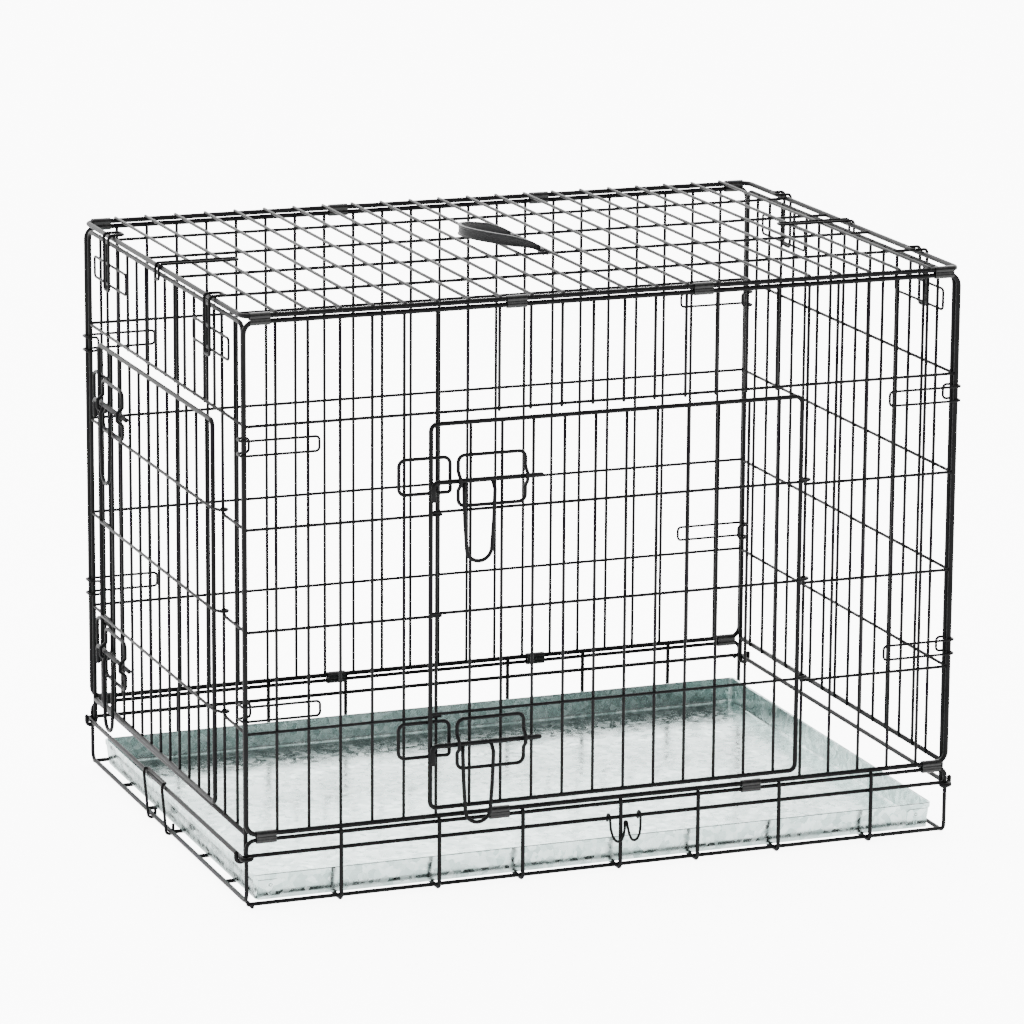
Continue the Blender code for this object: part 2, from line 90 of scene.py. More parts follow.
LONG_WIRES = spaced(-HALF_LONG, HALF_LONG, 23)
RAILS = spaced(WALL_BOTTOM, WALL_TOP, 5)
END_HALF = 0.2655
END_WIRES = spaced(-END_HALF, END_HALF, 16)
END_X = 0.386
END_TOP = 0.5995
END_RAILS = RAILS[:-1] + [END_TOP]
HINGE_X = END_X + 0.005
HINGE_Z = box_middle("left_hinge_rod").z
UPRIGHT_IN = 0.0026
RAIL_IN = 0.0002
COAT = 0.0003
CLEAR = 0.0004
ROD_BEND = 0.012
print(len(LONG_WIRES), "uprights on a long wall,", len(END_WIRES), "on an end wall,", len(RAILS), "rails")

# %% [markdown]
# Each wall has a frame of its own, in which the wall faces -Y and +X runs to its right. A
# wire is written down once in that frame, and one matrix per wall puts it in its place. That
# keeps the front, the back and the two ends from being four sets of sums.

# %% Wall frames
def wall_frame(place, turn):
    return Matrix.Translation(CENTRE + Vector(place)) @ Matrix.Rotation(turn, 4, "Z")


FRONT = wall_frame((0, -HALF_WIDE, 0), 0)
BACK = wall_frame((0, HALF_WIDE, 0), math.pi)
LEFT = wall_frame((-END_X, 0, 0), -math.pi / 2)
RIGHT = wall_frame((END_X, 0, 0), math.pi / 2)
CRATE = Matrix.Translation(CENTRE)
print("frames for front, back, left, right and the crate itself")

# %% [markdown]
# ## Finishes
# Colours are written as sRGB hex values, as a paint chip would be, and one function turns
# them to the linear values a shader works in. One helper adds a node with its settings and
# links, for shader trees and geometry trees alike, so a tree reads as a list of its nodes.

# %% Colour and node helpers
def linear(hex_code):
    channels = [int(hex_code[k:k + 2], 16) / 255 for k in (1, 3, 5)]
    return tuple(c / 12.92 if c <= 0.04045 else ((c + 0.055) / 1.055) ** 2.4 for c in channels) + (1,)


def add_node(tree, kind, values=None, links=None, **settings):
    node = tree.nodes.new(kind)
    for key, value in settings.items():
        setattr(node, key, value)
    for key, value in (values or {}).items():
        node.inputs[key].default_value = value
    for key, socket in (links or {}).items():
        tree.links.new(socket, node.inputs[key])
    return node


def new_material(name):
    material = bpy.data.materials.new(name)
    material.use_nodes = True
    tree = material.node_tree
    shader = tree.nodes["Principled BSDF"]
    place = add_node(tree, "ShaderNodeTexCoord").outputs["Object"]
    return material, tree, shader, place


print("helpers ready")

# %% [markdown]
# The wire is mild steel with a black electrophoretic coat, baked on: a thin even film of
# epoxy paint. It follows the drawn wire, so it has a satin gloss with a very fine orange peel,
# and it is never quite black, because the film thins out and dusts over. The orange peel is
# drawn about 1 mm across, coarser than real, so that it still breaks up a highlight.

# %% Black e-coated wire
def coat_black_wire():
    material, tree, shader, place = new_material("black_ecoat_wire")
    patches = add_node(tree, "ShaderNodeTexNoise", {"Scale": 45, "Detail": 3}, {"Vector": place})
    peel = add_node(tree, "ShaderNodeTexNoise", {"Scale": 1000, "Detail": 2}, {"Vector": place})
    tint = add_node(tree, "ShaderNodeValToRGB", links={"Fac": patches.outputs[0]})
    tint.color_ramp.elements[0].color = linear("#040405")
    tint.color_ramp.elements[0].position = 0.35
    tint.color_ramp.elements[1].color = linear("#0E0E0F")
    tint.color_ramp.elements[1].position = 0.7
    gloss = add_node(tree, "ShaderNodeMapRange", {"To Min": 0.4, "To Max": 0.55}, {"Value": peel.outputs[0]})
    bump = add_node(tree, "ShaderNodeBump", {"Strength": 0.02, "Distance": 0.0003},
                    {"Height": peel.outputs[0]})
    tree.links.new(tint.outputs["Color"], shader.inputs["Base Color"])
    tree.links.new(gloss.outputs["Result"], shader.inputs["Roughness"])
    tree.links.new(bump.outputs["Normal"], shader.inputs["Normal"])
    shader.inputs["IOR"].default_value = 1.5
    shader.inputs["Specular IOR Level"].default_value = 0.08
    return material


black_wire = coat_black_wire()
print(black_wire.name, len(black_wire.node_tree.nodes), "nodes")

# %% [markdown]
# The clips are steel strip with a thinner black coat, folded tight after coating. The coat
# is a little greyer and glossier than on the wire, and worn in patches.

# %% Black coated strip
def coat_black_strip():
    material, tree, shader, place = new_material("black_coated_strip")
    rub = add_node(tree, "ShaderNodeTexNoise", {"Scale": 260, "Detail": 4}, {"Vector": place})
    tint = add_node(tree, "ShaderNodeValToRGB", links={"Fac": rub.outputs[0]})
    tint.color_ramp.elements[0].color = linear("#0B0B0C")
    tint.color_ramp.elements[0].position = 0.45
    tint.color_ramp.elements[1].color = linear("#20201F")
    tint.color_ramp.elements[1].position = 0.8
    gloss = add_node(tree, "ShaderNodeMapRange", {"To Min": 0.22, "To Max": 0.42}, {"Value": rub.outputs[0]})
    bump = add_node(tree, "ShaderNodeBump", {"Strength": 0.1, "Distance": 0.0003}, {"Height": rub.outputs[0]})
    tree.links.new(tint.outputs["Color"], shader.inputs["Base Color"])
    tree.links.new(gloss.outputs["Result"], shader.inputs["Roughness"])
    tree.links.new(bump.outputs["Normal"], shader.inputs["Normal"])
    shader.inputs["Specular IOR Level"].default_value = 0.25
    return material


black_strip = coat_black_strip()
print(black_strip.name, len(black_strip.node_tree.nodes), "nodes")

# %% [markdown]
# The pan is hot-dip galvanised sheet. As the zinc freezes it grows flat crystals, the
# spangle, some 5 to 8 mm across, and each crystal reflects at its own angle. Voronoi cells stand
# for the crystals: each cell's random value sets how bright and how rough it is. A faint large
# noise dents the sheet, because thin sheet never lies flat, and that is what makes its
# reflections wander.

# %% Galvanised sheet
def galvanise():
    material, tree, shader, place = new_material("galvanised_spangle_sheet")
    wander = add_node(tree, "ShaderNodeTexNoise", {"Scale": 130, "Detail": 2}, {"Vector": place})
    shift = add_node(tree, "ShaderNodeVectorMath", {"Scale": 0.004}, {0: wander.outputs["Color"]},
                     operation="SCALE")
    bent = add_node(tree, "ShaderNodeVectorMath", links={0: place, 1: shift.outputs[0]}, operation="ADD")
    crystals = add_node(tree, "ShaderNodeTexVoronoi", {"Scale": 150}, {"Vector": bent.outputs[0]})
    grain = add_node(tree, "ShaderNodeSeparateColor", links={"Color": crystals.outputs["Color"]})
    tint = add_node(tree, "ShaderNodeValToRGB", links={"Fac": grain.outputs[0]})
    tint.color_ramp.elements[0].color = linear("#98ABA8")
    tint.color_ramp.elements[1].color = linear("#CBD8D6")
    gloss = add_node(tree, "ShaderNodeMapRange", {"To Min": 0.13, "To Max": 0.32},
                     {"Value": grain.outputs[1]})
    dents = add_node(tree, "ShaderNodeTexNoise", {"Scale": 14, "Detail": 1}, {"Vector": place})
    sag = add_node(tree, "ShaderNodeBump", {"Strength": 0.1, "Distance": 0.0008},
                   {"Height": dents.outputs[0]})
    tilt = add_node(tree, "ShaderNodeBump", {"Strength": 0.12, "Distance": 0.0001},
                    {"Height": grain.outputs[2], "Normal": sag.outputs["Normal"]})
    tree.links.new(tint.outputs["Color"], shader.inputs["Base Color"])
    tree.links.new(gloss.outputs["Result"], shader.inputs["Roughness"])
    tree.links.new(tilt.outputs["Normal"], shader.inputs["Normal"])
    shader.inputs["Metallic"].default_value = 1.0
    return material


galvanised = galvanise()
print(galvanised.name, len(galvanised.node_tree.nodes), "nodes")

# %% [markdown]
# The handle is injection moulded polypropylene. The mould is spark eroded, which leaves a
# fine even grain, so the plastic is matt with a soft broad highlight. The grain is drawn about
# 0.7 mm across, coarser than real, so that it shows.

# %% Moulded black plastic
def mould_plastic():
    material, tree, shader, place = new_material("black_moulded_polypropylene")
    grain = add_node(tree, "ShaderNodeTexNoise", {"Scale": 1400, "Detail": 3}, {"Vector": place})
    tint = add_node(tree, "ShaderNodeValToRGB", links={"Fac": grain.outputs[0]})
    tint.color_ramp.elements[0].color = linear("#0C0C0D")
    tint.color_ramp.elements[1].color = linear("#1B1B1D")
    gloss = add_node(tree, "ShaderNodeMapRange", {"To Min": 0.38, "To Max": 0.58},
                     {"Value": grain.outputs[0]})
    bump = add_node(tree, "ShaderNodeBump", {"Strength": 0.25, "Distance": 0.0003},
                    {"Height": grain.outputs[0]})
    tree.links.new(tint.outputs["Color"], shader.inputs["Base Color"])
    tree.links.new(gloss.outputs["Result"], shader.inputs["Roughness"])
    tree.links.new(bump.outputs["Normal"], shader.inputs["Normal"])
    shader.inputs["IOR"].default_value = 1.49
    shader.inputs["Specular IOR Level"].default_value = 0.3
    return material


black_plastic = mould_plastic()
print(black_plastic.name, len(black_plastic.node_tree.nodes), "nodes")

# %% [markdown]
# ## Wirework
# A wire crate is one rule used hundreds of times: take straight wire, bend it at some points to
# a radius, and weld it where it crosses another. So one Geometry Nodes tree does it. Its input
# is a mesh of bare edges, one chain of edges per wire, whose points carry the wire's gauge and
# bend radius. Loose points mark the welds. The tree rounds each bend, sweeps a round section
# along the wire, and puts a small nugget at each weld.

# %% The wirework tree
def build_wirework_tree():
    tree = bpy.data.node_groups.new("welded_wirework", "GeometryNodeTree")
    tree.interface.new_socket("Geometry", in_out="INPUT", socket_type="NodeSocketGeometry")
    tree.interface.new_socket("Sides of the section", in_out="INPUT", socket_type="NodeSocketInt")
    tree.interface.new_socket("Steps in a bend", in_out="INPUT", socket_type="NodeSocketInt")
    tree.interface.new_socket("Finish", in_out="INPUT", socket_type="NodeSocketMaterial")
    tree.interface.new_socket("Geometry", in_out="OUTPUT", socket_type="NodeSocketGeometry")
    given = add_node(tree, "NodeGroupInput").outputs
    gauge = add_node(tree, "GeometryNodeInputNamedAttribute", {"Name": "gauge"}).outputs["Attribute"]
    bend = add_node(tree, "GeometryNodeInputNamedAttribute", {"Name": "bend"}).outputs["Attribute"]
    weld = add_node(tree, "GeometryNodeInputNamedAttribute", {"Name": "weld"}).outputs["Attribute"]
    lines = add_node(tree, "GeometryNodeMeshToCurve", links={"Mesh": given["Geometry"]})
    rounded = add_node(tree, "GeometryNodeFilletCurve", {"Limit Radius": True},
                       {"Curve": lines.outputs[0], "Count": given["Steps in a bend"], "Radius": bend},
                       mode="POLY")
    half = add_node(tree, "ShaderNodeMath", {1: 0.5}, {0: gauge}, operation="MULTIPLY")
    sized = add_node(tree, "GeometryNodeSetCurveRadius",
                     links={"Curve": rounded.outputs[0], "Radius": half.outputs[0]})
    section = add_node(tree, "GeometryNodeCurvePrimitiveCircle", {"Radius": 1.0},
                       {"Resolution": given["Sides of the section"]})
    swept = add_node(tree, "GeometryNodeCurveToMesh", {"Fill Caps": True},
                     {"Curve": sized.outputs[0], "Profile Curve": section.outputs[0]})
    if "Scale" in swept.inputs:
        tree.links.new(half.outputs[0], swept.inputs["Scale"])
    is_weld = add_node(tree, "FunctionNodeCompare", {1: 1e-5}, {0: weld}, operation="GREATER_THAN")
    spots = add_node(tree, "GeometryNodeMeshToPoints",
                     links={"Mesh": given["Geometry"], "Selection": is_weld.outputs[0]})
    nugget = add_node(tree, "GeometryNodeMeshIcoSphere", {"Radius": 1.0, "Subdivisions": 2})
    nuggets = add_node(tree, "GeometryNodeInstanceOnPoints",
                       links={"Points": spots.outputs[0], "Instance": nugget.outputs[0], "Scale": weld})
    both = add_node(tree, "GeometryNodeJoinGeometry")
    tree.links.new(swept.outputs[0], both.inputs[0])
    tree.links.new(nuggets.outputs[0], both.inputs[0])
    real = add_node(tree, "GeometryNodeRealizeInstances", links={"Geometry": both.outputs[0]})
    smooth = add_node(tree, "GeometryNodeSetShadeSmooth", links={"Geometry": real.outputs[0]})
    done = add_node(tree, "GeometryNodeSetMaterial",
                    links={"Geometry": smooth.outputs[0], "Material": given["Finish"]})
    add_node(tree, "NodeGroupOutput", links={"Geometry": done.outputs[0]})
    return tree


wirework = build_wirework_tree()
print(wirework.name, len(wirework.nodes), "nodes")

# %% [markdown]
# A wire is written as a run: its points in a wall's frame, its gauge, and the radius of its
# bends. A cut end isn't a sharp disc once it is coated, so an open run gets a short taper at
# each end.

# %% Runs of wire
def run(points, gauge, bend=0.0, closed=False, place=CRATE):
    spots = [place @ Vector(point) for point in points]
    gauge += COAT
    gauges = [gauge] * len(spots)
    if not closed:
        for end, inner in ((0, 1), (-1, -2)):
            away = (spots[inner] - spots[end]).normalized() * gauge * 0.3
            spots.insert(1 if end == 0 else len(spots) - 1, spots[end] + away)
            gauges.append(gauge)
        gauges[0] = gauges[-1] = gauge * 0.55
    bends = [bend] * len(spots)
    if not closed:
        bends[0] = bends[1] = bends[-1] = bends[-2] = 0.0
    return {"spots": spots, "gauges": gauges, "bends": bends, "closed": closed}


def arc(centre, radius, start, end, steps, plane):
    points = []
    for step in range(steps + 1):
        angle = math.radians(start + (end - start) * step / steps)
        points.append(plane(centre[0] + radius * math.cos(angle), centre[1] + radius * math.sin(angle)))
    return points


def rectangle(centre, size, plane):
    (a, b), (w, h) = centre, size
    signs = ((1, 1), (-1, 1), (-1, -1), (1, -1))
    return [plane(a + right * w / 2, b + up * h / 2) for right, up in signs]


print("run, arc and rectangle ready")

# %% [markdown]
# The runs of one piece go into one mesh of edges. The tree's inputs are set by the sockets'
# identifiers before the object is first evaluated, then the result is taken as a plain mesh
# and the modifier goes. A piece says which body it rides on and which CAD nodes it stands for.

# %% Turn runs into a piece
def socket_id(tree, name):
    return next(item.identifier for item in tree.interface.items_tree
                if item.name == name and item.in_out == "INPUT")


def settle(piece, body, nodes):
    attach(piece, body)
    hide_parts(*nodes)
    return piece


def make_wires(name, runs, body, nodes, welds=(), weld_size=0.0019, sides=12, steps=5, finish=black_wire):
    spots, edges, gauges, bends = [], [], [], []
    for wire in runs:
        first = len(spots)
        count = len(wire["spots"])
        spots += wire["spots"]
        gauges += wire["gauges"]
        bends += wire["bends"]
        edges += [(first + k, first + k + 1) for k in range(count - 1)]
        if wire["closed"]:
            edges.append((first + count - 1, first))
    nuggets = [0.0] * len(spots) + [weld_size] * len(welds)
    spots += [Vector(spot) for spot in welds]
    gauges += [0.0] * len(welds)
    bends += [0.0] * len(welds)
    mesh = bpy.data.meshes.new(name)
    mesh.from_pydata(spots, edges, [])
    for key, values in (("gauge", gauges), ("bend", bends), ("weld", nuggets)):
        mesh.attributes.new(key, "FLOAT", "POINT").data.foreach_set("value", values)
    piece = bpy.data.objects.new(name, mesh)
    bpy.context.scene.collection.objects.link(piece)
    nodes_modifier = piece.modifiers.new("wirework", "NODES")
    nodes_modifier.node_group = wirework
    nodes_modifier[socket_id(wirework, "Sides of the section")] = sides
    nodes_modifier[socket_id(wirework, "Steps in a bend")] = steps
    nodes_modifier[socket_id(wirework, "Finish")] = finish
    graph = bpy.context.evaluated_depsgraph_get()
    piece.data = bpy.data.meshes.new_from_object(piece.evaluated_get(graph))
    piece.modifiers.clear()
    for polygon in piece.data.polygons:
        polygon.use_smooth = len(polygon.vertices) <= 4
    settle(piece, body, nodes)
    print(name, "-", len(runs), "wires,", len(welds), "welds,", len(piece.data.polygons), "faces")
    return piece


# %% [markdown]
# ## Long walls
# A wall starts as a 5 mm rod bent into a rounded rectangle. Thin uprights are welded
# inside it and thin rails outside them, so the two sets lie in two layers and touch where
# they cross. In the front wall the door cuts through: its uprights stop above the doorway and
# its rails stop at the wires on each side of it, where their ends stick out a little.

# %% One lattice rule for every wall
DOOR_CELLS = 12
LAP = 0.0015
WELD_IN = 0.0012


def lattice(across, levels, place, doorway=None, straight=()):
    runs, welds = [], []
    top_of_door = len(levels) - 2
    for i, u in enumerate(across[1:-1], 1):
        inside = doorway and doorway < i < doorway + DOOR_CELLS
        start = levels[top_of_door] - 0.004 if inside else levels[0] - LAP
        depth = 0.0 if i in straight else UPRIGHT_IN
        runs.append(run([(u, depth, start), (u, depth, levels[-1] + LAP)], WIRE, place=place))
        for j, level in enumerate(levels):
            if inside and j < top_of_door:
                continue
            welds.append(place @ Vector((u, WELD_IN, level)))
    for j, level in enumerate(levels[1:-1], 1):
        spans = [(across[0], across[-1])]
        if doorway and j < top_of_door:
            hinge_u = across[doorway + DOOR_CELLS]
            spans = [(across[0], across[doorway] + 0.006), (hinge_u - 0.001, across[-1])]
        for low, high in spans:
            runs.append(run([(low, RAIL_IN, level), (high, RAIL_IN, level)], WIRE, place=place))
    return runs, welds


def long_wall(name, place, node, doorway=None, straight=()):
    runs, welds = lattice(LONG_WIRES, RAILS, place, doorway, straight=straight)
    size = (2 * HALF_LONG, WALL_TOP - WALL_BOTTOM)
    edge = rectangle((0, (WALL_BOTTOM + WALL_TOP) / 2), size, lambda a, b: (a, 0, b))
    runs.append(run(edge, ROD, ROD_BEND, closed=True, place=place))
    return make_wires(name, runs, "root", [node], welds)


# %% [markdown]
# Both long walls come from that one rule. The front one has a doorway twelve cells wide, from
# the sixth wire after its left rod. The wires on each side of the doorway lie in the plane of
# the wall's rods, because the door's rails curl round one and its frame closes over the other.

# %% Front and back walls
FRONT_LATCH = 6
long_wall("front_wall", FRONT, "front_panel", FRONT_LATCH, straight=(FRONT_LATCH, FRONT_LATCH + DOOR_CELLS))
long_wall("back_wall", BACK, "back_panel")

# %% [markdown]
# ## Roof
# The roof is the same mesh laid flat. Its short wires lie on top of the rod frame, so each
# shows a cut tip past the rod at the back and a slight hook over it at the front.

# %% Roof mesh
def roof():
    runs, welds = [], []
    rows = spaced(-HALF_WIDE, HALF_WIDE, 5)
    up = ROOF_Z + 0.0028
    tip = (-HALF_WIDE - 0.0036, up - 0.0024)
    for x in LONG_WIRES[1:-1]:
        points = [(x, *tip), (x, -HALF_WIDE + 0.0005, up), (x, HALF_WIDE + 0.0034, up)]
        runs.append(run(points, WIRE, 0.003))
        welds += [CRATE @ Vector((x, y, ROOF_Z + WELD_IN)) for y in rows]
    for y in rows[1:-1]:
        runs.append(run([(-HALF_LONG, y, ROOF_Z), (HALF_LONG, y, ROOF_Z)], WIRE))
    edge = rectangle((0, 0), (2 * HALF_LONG, 2 * HALF_WIDE), lambda a, b: (a, b, ROOF_Z))
    runs.append(run(edge, ROD, ROD_BEND, closed=True))
    return make_wires("roof_mesh", runs, "root", ["top_panel"], welds)


roof()

# %% [markdown]
# ## Floor cage
# The cage is the shallow tray of wire that everything stands in. One rod runs round it,
# along the top of both long sides and across the floor at both ends. Seven U wires hang
# outside the rods, and long wires lie across them under the pan. The left end rod is bent up
# a little, to leave room for the pan stop that turns on it.

# %% Floor cage
CAGE_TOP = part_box("base_cage")[1].z - CAGE_WIRE / 2
CAGE_MID = 0.056
CAGE_Z = CAGE_WIRE / 2
STOP_ROD_Z = 0.008
CAGE_UPRIGHTS = (-0.288, -0.1825, -0.0915, 0.0165, 0.103, 0.1945, 0.300)
CAGE_OUT = HALF_WIDE + 0.0036
CAGE_END = -HALF_LONG + 0.0065


def floor_cage():
    runs, welds = [], []
    ys = spaced(-HALF_WIDE, HALF_WIDE, 6)
    long_rod = CAGE_Z + 0.0034
    loop = []
    for x, y_first, z_low in ((-HALF_LONG, 1, STOP_ROD_Z), (HALF_LONG, -1, CAGE_Z)):
        for y, z in ((y_first, CAGE_TOP), (y_first, z_low), (-y_first, z_low), (-y_first, CAGE_TOP)):
            loop.append((x, y * HALF_WIDE, z))
    runs.append(run(loop, CAGE_WIRE, 0.009, closed=True))
    over = CAGE_TOP + 0.0030
    for x in CAGE_UPRIGHTS:
        half = [(x, -HALF_WIDE - 0.0008, over), (x, -CAGE_OUT, over), (x, -CAGE_OUT, CAGE_Z)]
        path = half + [(a, -b, c) for a, b, c in reversed(half)]
        runs.append(run(path, CAGE_WIRE, 0.0026))
        runs[-1]["bends"][3] = runs[-1]["bends"][4] = 0.005
        welds += [CRATE @ Vector((x, side * (HALF_WIDE + 0.0018), z))
                  for side in (-1, 1) for z in (CAGE_TOP, CAGE_MID)]
        welds += [CRATE @ Vector((x, y, CAGE_Z)) for y in ys[1:-1]]
    runs.append(run([(CAGE_END, -HALF_WIDE, CAGE_Z), (CAGE_END, HALF_WIDE, CAGE_Z)], CAGE_WIRE))
    for y in ys[1:-1]:
        runs.append(run([(CAGE_END, y, CAGE_Z), (HALF_LONG, y, CAGE_Z)], CAGE_WIRE))
    for side in (-HALF_WIDE, HALF_WIDE):
        runs.append(run([(-HALF_LONG, side, CAGE_MID), (HALF_LONG, side, CAGE_MID)], CAGE_WIRE))
        runs.append(run([(-HALF_LONG, side, long_rod), (HALF_LONG, side, long_rod)], CAGE_WIRE))
    return make_wires("floor_cage", runs, "root", ["base_cage"], welds, weld_size=0.0023)


floor_cage()

# %% [markdown]
# A hinge rod runs above each end of the cage, and its ends curl round the cage's corner
# posts. The end walls hang on these rods by hooked feet.

# %% Hinge rods
POST_CURL = 0.0052


def hinge_rods():
    for side, sign in (("left", -1), ("right", 1)):
        curls = {}
        for end in (-1, 1):
            post = (sign * HALF_LONG, end * HALF_WIDE)
            path = []
            for step in range(9):
                angle = math.radians(50 - 240 * step / 8)
                x = post[0] + sign * POST_CURL * math.cos(angle)
                path.append((x, post[1] - end * POST_CURL * math.sin(angle), HINGE_Z))
            curls[end] = [(sign * HINGE_X, end * 0.266, HINGE_Z)] + path
        points = list(reversed(curls[-1])) + curls[1]
        make_wires(f"hinge_rod_{side}", [run(points, ROD * 0.9)], "root", [f"{side}_hinge_rod"])


hinge_rods()

# %% [markdown]
# ## End walls
# The end walls stand just inside the long ones. Their rod frame is an arch whose two legs
# go down past the hinge rod and hook back up under it. Two flat loops near the top are for
# the hairpins, which slide down over them and lock the wall upright.

# %% End walls
END_LATCH = 2
END_ROD = 0.0044
FOOT_CURL = 0.005
END_LOOP = (0.115, 0.022)
END_LOOP_Z = 0.5675
LOOP_SPOTS = (-0.175, 0.175)


def foot(u):
    hook = arc((FOOT_CURL, HINGE_Z), FOOT_CURL, 180, 360, 8, lambda a, b: (u, -a, b))
    return hook + [(u, -0.010, HINGE_Z + 0.007)]


def end_wall(side, place, body, doorway=None, straight=()):
    runs, welds = lattice(END_WIRES, END_RAILS, place, doorway, straight=straight)
    left_leg, right_leg = foot(-END_HALF), foot(END_HALF)
    arch = list(reversed(left_leg)) + [(-END_HALF, 0, END_TOP), (END_HALF, 0, END_TOP)] + right_leg
    arch_run = run(arch, END_ROD, place=place)
    corner = arch_run["spots"].index(place @ Vector((-END_HALF, 0, END_TOP)))
    arch_run["bends"][corner] = arch_run["bends"][corner + 1] = 0.010
    runs.append(arch_run)
    runs.append(run([(-END_HALF, 0, WALL_BOTTOM), (END_HALF, 0, WALL_BOTTOM)], ROD, place=place))
    make_wires(f"{side}_end_wall", runs, body, [f"{side}_end_panel"], welds)
    loops = []
    for u in LOOP_SPOTS:
        loop = rectangle((u, END_LOOP_Z), END_LOOP, lambda a, b: (a, -0.0038, b))
        loops.append(run(loop, HOOK_WIRE, 0.004, closed=True, place=place))
    make_wires(f"{side}_end_loops", loops, body, [f"{side}_latch_loop_a", f"{side}_latch_loop_b"])


end_wall("left", LEFT, "left_end", END_LATCH, straight=(END_LATCH, END_LATCH + DOOR_CELLS))
end_wall("right", RIGHT, "right_end")

# %% [markdown]
# ## Doors
# A door is a bent rod frame with the same mesh welded in it. It stands proud of the wall on
# the latch side. Its rails run on past the frame and curl round the wall's hinge wire, which
# is all the hinge there is.

# %% Door leaves
DOOR_OUT = 0.0076
DOOR_ROD = 0.0046
DOOR_SIDE = 0.009
HINGE_CURL = 0.0040
DOOR_BOTTOM = 0.089
DOOR_TOP = RAILS[-2] - 0.010
DOOR_RAILS = [level + 0.005 for level in RAILS[1:-2]]


def door_leaf(name, place, body, node, wires, latch):
    latch_u, hinge_u = wires[latch], wires[latch + DOOR_CELLS]
    left_u, right_u = latch_u - DOOR_SIDE, hinge_u - DOOR_SIDE
    runs, welds = [], []
    edge = rectangle(((left_u + right_u) / 2, (DOOR_BOTTOM + DOOR_TOP) / 2),
                     (right_u - left_u, DOOR_TOP - DOOR_BOTTOM), lambda a, b: (a, -DOOR_OUT, b))
    runs.append(run(edge, DOOR_ROD, 0.007, closed=True, place=place))
    back, fore = -DOOR_OUT + 0.0011, -DOOR_OUT - 0.0010
    for u in wires[latch + 1:latch + DOOR_CELLS]:
        runs.append(run([(u, back, DOOR_BOTTOM - 0.001), (u, back, DOOR_TOP + 0.001)], WIRE, place=place))
        welds += [place @ Vector((u, -DOOR_OUT, z)) for z in DOOR_RAILS]
    for level in DOOR_RAILS:
        curl = arc((hinge_u, 0), HINGE_CURL, -80, 200, 9, lambda a, b: (a, b, level))
        runs.append(run([(left_u, fore, level), (right_u + 0.001, fore, level)] + curl, WIRE, place=place))
    make_wires(name, runs, body, [node], welds, weld_size=0.0017)


door_leaf("front_door_leaf", FRONT, "front_door", "front_door", LONG_WIRES, FRONT_LATCH)
door_leaf("end_door_leaf", LEFT, "end_door", "end_door", END_WIRES, END_LATCH)

# %% [markdown]
# ## Slide bolts
# The bolt is a rod with its tip bent down and a finger loop welded under it. A ring on the
# door holds it: the ring's upright sides bow out over the rod. A smaller ring on the wall is
# the keeper, where the tip comes to rest. All of them are bent wire, so they are runs too.

# %% Rings, keepers and bolts
BOLT_OUT = DOOR_OUT + ROD + CLEAR
GUIDE_OUT = DOOR_OUT + 0.0042
RING_WIRE = 0.0036
BOW_OUT = BOLT_OUT + ROD / 2 + 0.0007 + RING_WIRE / 2
GUIDE = (0.072, 0.052)
KEEPER = (0.0545, 0.036)
KEEPER_SHIFT = (-0.0144, 0.0055)
GUIDE_SHIFT = 0.0545
BOLT_LONG = 0.118
TIP_REACH = 0.0315
TIP_DROP = 0.020
LOOP_WIRE = 0.0038
LOOP_WIDE = 0.0335
LOOP_DROP = 0.083
LOOP_ROUND = 0.0135
BOLT_LEVELS = {"upper": 0.4285, "lower": 0.155}


def guide_ring(centre_u, level, place):
    width, height = GUIDE
    points = []
    for side in (1, -1):
        u = centre_u + side * width / 2
        column = [(u, -GUIDE_OUT, level + height / 2), (u, -GUIDE_OUT, level + 0.0095),
                  (u, -BOW_OUT, level + 0.0042)]
        column += [(a, b, 2 * level - c) for a, b, c in reversed(column)]
        points += column if side == 1 else column[::-1]
    ring = run(points, RING_WIRE, 0.002, closed=True, place=place)
    for k in (0, 5, 6, 11):
        ring["bends"][k] = 0.007
    return ring


def keeper_ring(centre_u, centre_z, place):
    """Its lower corner by the door is bent outwards, to guide the bolt's tip in."""
    out = -WIRE - 0.0005
    right, low = centre_u + KEEPER[0] / 2, centre_z - KEEPER[1] / 2
    corners = rectangle((centre_u, centre_z), KEEPER, lambda a, b: (a, out, b))[:3]
    catch = [(right - 0.014, out, low), (right - 0.001, -0.0072, low + 0.001), (right, out, low + 0.012)]
    ring = run(corners + catch, RING_WIRE, 0.007, closed=True, place=place)
    for k in (3, 4, 5):
        ring["bends"][k] = 0.003
    return ring


def bolt(leg_u, level, place):
    tip = leg_u - TIP_REACH
    bar = [(tip + 0.001, -BOLT_OUT, level - TIP_DROP), (tip, -BOLT_OUT, level),
           (tip + BOLT_LONG, -BOLT_OUT, level)]
    rod = run(bar, ROD * 0.98, 0.005, place=place)
    out = -BOLT_OUT - 0.0031
    middle = leg_u + LOOP_WIDE / 2
    side = [(middle - 0.0150, -BOLT_OUT + 0.001, level), (middle - 0.0166, out, level - 0.010),
            (middle - 0.0155, out, level - 0.040)]
    foot_of_loop = (middle, level - LOOP_DROP + LOOP_ROUND)
    loop = side + arc(foot_of_loop, LOOP_ROUND, 180, 360, 12, lambda a, b: (a, out, b))
    loop += [(2 * middle - a, b, c) for a, b, c in reversed(side)]
    wire = run(loop, LOOP_WIRE, place=place)
    for k in (2, 3, len(loop) - 2, len(loop) - 1):
        wire["bends"][k] = 0.006
    return [rod, wire]


